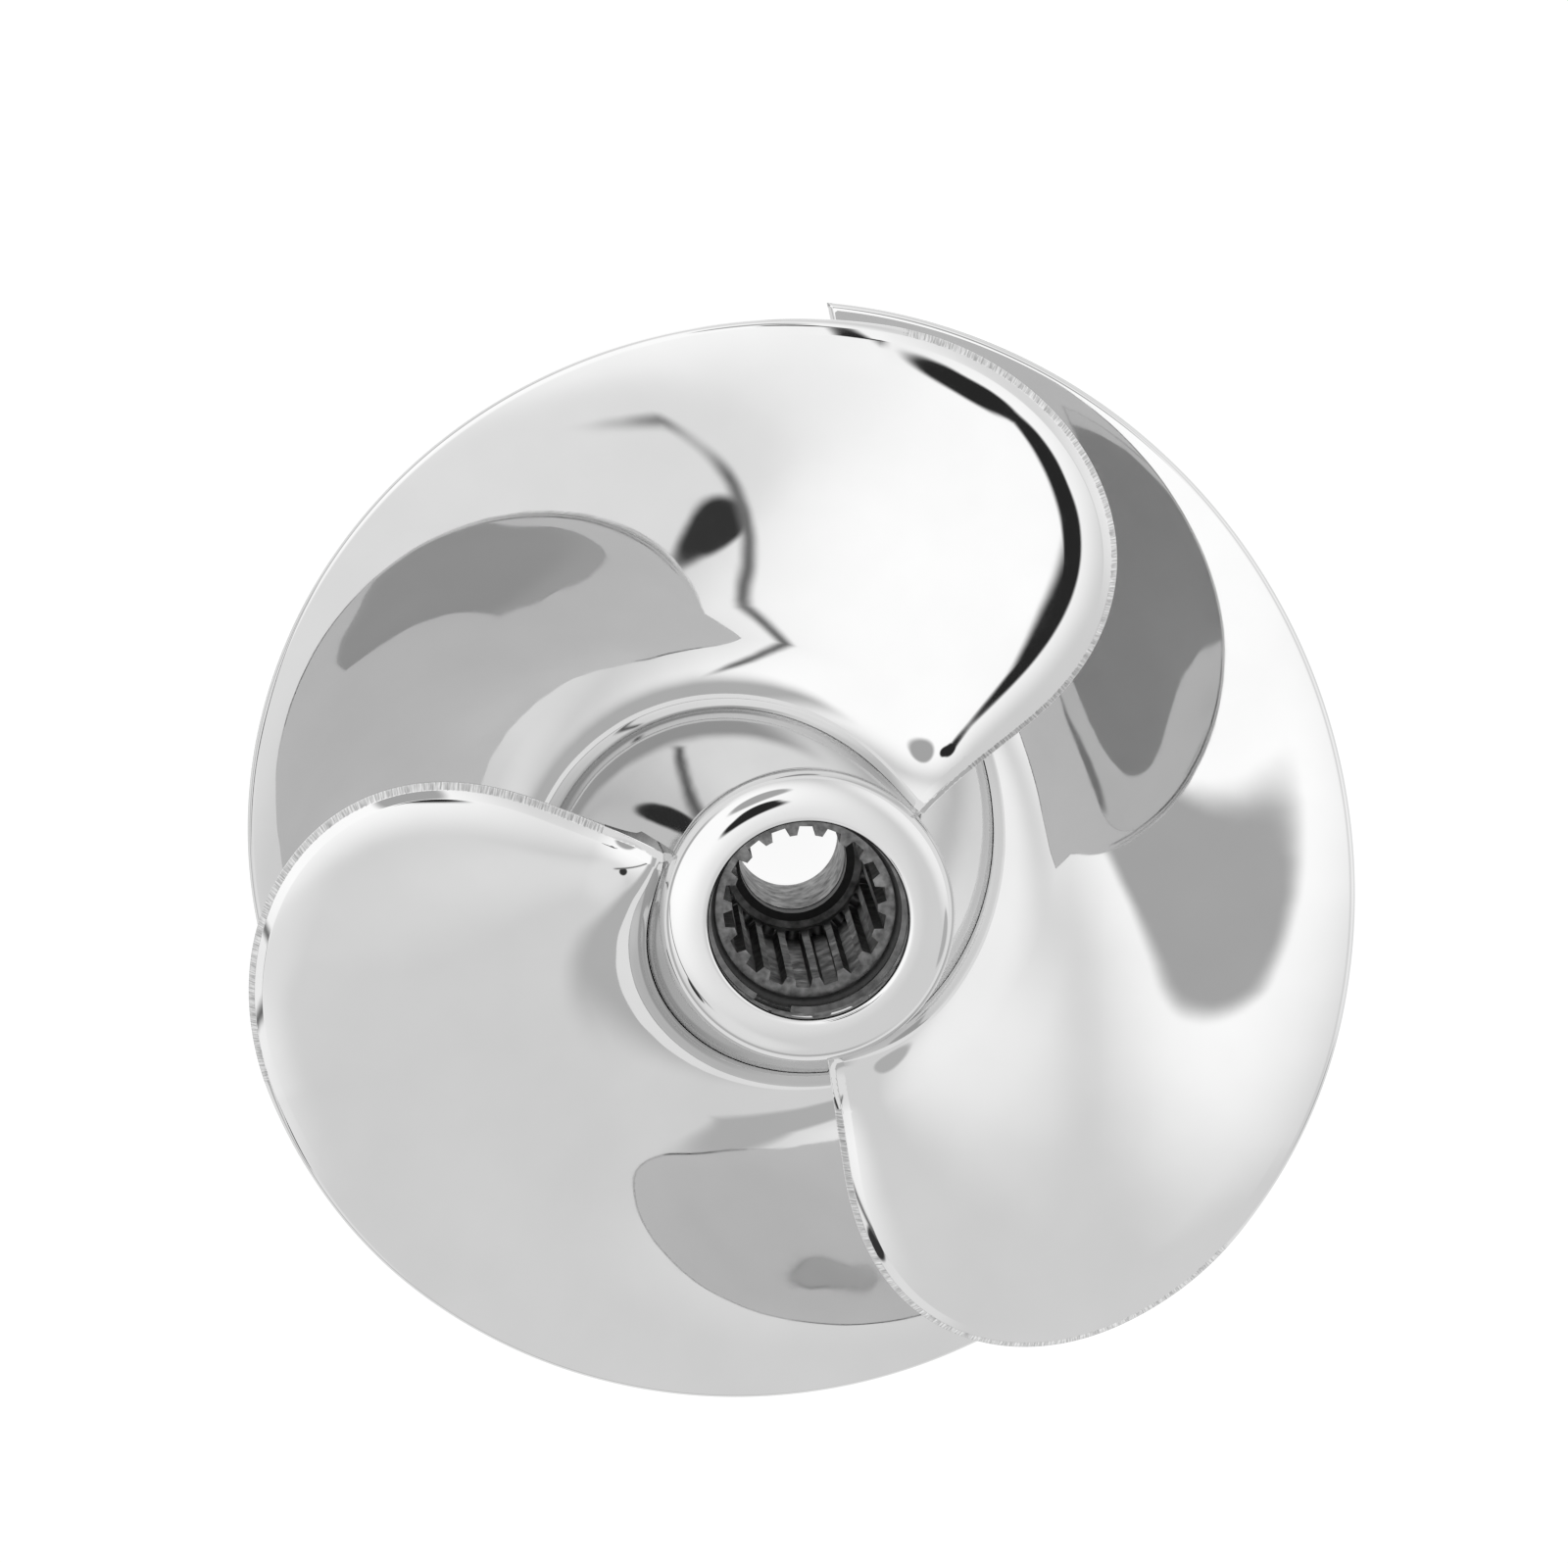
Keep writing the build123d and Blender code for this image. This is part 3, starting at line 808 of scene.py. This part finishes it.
# a dimmer band low down on one side: the middle of that side, the cosines from it and from straight
# down where the band starts and is full, and its level
HORIZON_AZIMUTH = 215
HORIZON_SIDE = (-0.1, 0.4)
HORIZON_DOWN = (-0.26, -0.14)
HORIZON_LEVEL = 0.62
# a thin dark seam in the surroundings: its two ends, half its width in radians, and its level
SEAM_ENDS = ((182, 13), (236, 41))
SEAM_HALF_WIDTH = 0.040
SEAM_LEVEL = 0.22


def seam(nodes, links, direction):
    """1 along the seam and 0 away from it."""
    first, last = (Vector(toward(*end)) for end in SEAM_ENDS)
    across = lobe(nodes, links, direction, first.cross(last), -SEAM_HALF_WIDTH, 0.0)
    other = lobe(nodes, links, direction, last.cross(first), -SEAM_HALF_WIDTH, 0.0)
    middle = (first + last).normalized()
    end = middle.dot(first)
    within = lobe(nodes, links, direction, middle, end - 0.01, end + 0.3 * (1 - end))
    return times(nodes, links, times(nodes, links, across, other), within)


def times(nodes, links, first, second):
    node = nodes.new("ShaderNodeMath")
    node.operation = "MULTIPLY"
    links.new(first, node.inputs[0])
    links.new(second, node.inputs[1])
    return node.outputs["Value"]


def make_studio():
    """Soft pale surroundings with brighter, dimmer and dark patches for the steel to reflect."""
    world = bpy.data.worlds.new("studio")
    world.use_nodes = True
    bpy.context.scene.world = world
    nodes, links = world.node_tree.nodes, world.node_tree.links
    direction = nodes.new("ShaderNodeTexCoord").outputs["Generated"]
    level = BASE_LEVEL
    for azimuth, elevation, start, end, target in SURROUNDINGS:
        share = lobe(nodes, links, direction, toward(azimuth, elevation), start, end)
        level = blend(nodes, links, share, level, target)
    low = lobe(nodes, links, direction, (0, 0, -1), *HORIZON_DOWN)
    side = lobe(nodes, links, direction, toward(HORIZON_AZIMUTH, 0), *HORIZON_SIDE)
    level = blend(nodes, links, times(nodes, links, low, side), level, HORIZON_LEVEL)
    level = blend(nodes, links, seam(nodes, links, direction), level, SEAM_LEVEL)
    back = nodes["Background"]
    back.inputs["Color"].default_value = (1, 1, 1, 1)
    links.new(level, back.inputs["Strength"])


def main():
    bpy.context.scene.view_settings.view_transform = "Standard"
    make_camera()
    make_floor()
    make_studio()
    polished = polished_steel()
    machined = machined_steel()
    make_hub(polished, machined, cast_steel())
    make_blades(polished, ground_edge())
    rubber = black_rubber()
    dress("spline_sleeve", machined)
    dress("snap_ring", spring_steel())
    dress("mouth_seal", rubber)
    dress("shaft_bumper", rubber)


main()
